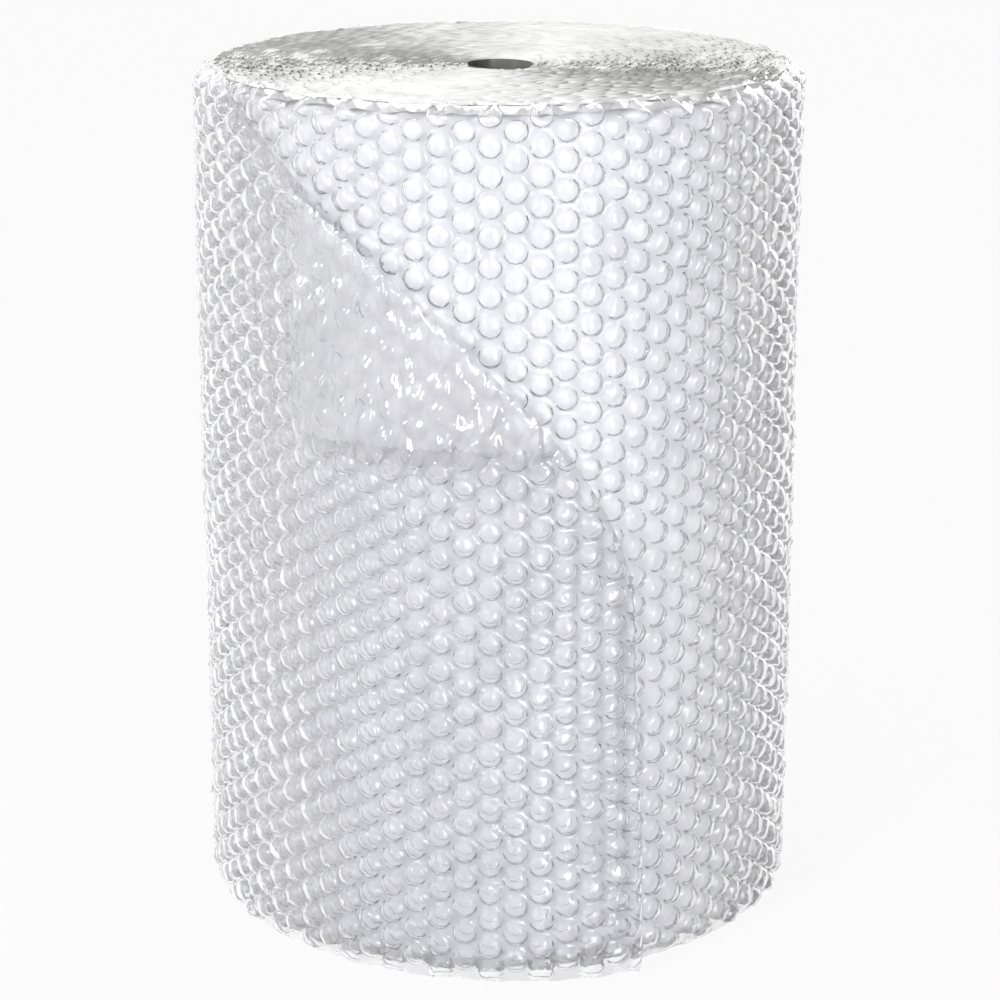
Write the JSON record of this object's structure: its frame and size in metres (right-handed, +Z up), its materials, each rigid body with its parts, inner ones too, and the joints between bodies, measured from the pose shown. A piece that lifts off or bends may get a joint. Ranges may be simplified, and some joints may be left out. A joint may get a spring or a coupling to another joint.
{
  "type": "bubble wrap roll",
  "caption": "Roll of clear large-bubble cushioning film standing on its end, its free end down the front, with a folded-under corner, a loose foot and a plain hole through the middle.",
  "frame": {"origin": "on the winding axis, at the foot of the hole, in the plane the roll stands on", "axes": "+Z up along the winding axis; -Y is the front, where the free end runs down, 26 degrees towards +X; +X to the viewer's right"},
  "size_m": [0.7052, 0.722, 1],
  "materials": {
    "bubble_film": "glossy translucent"
  },
  "bodies": {
    "root": {"bubble_wrap_roll": "bubble_film"}
  },
  "joints": []
}
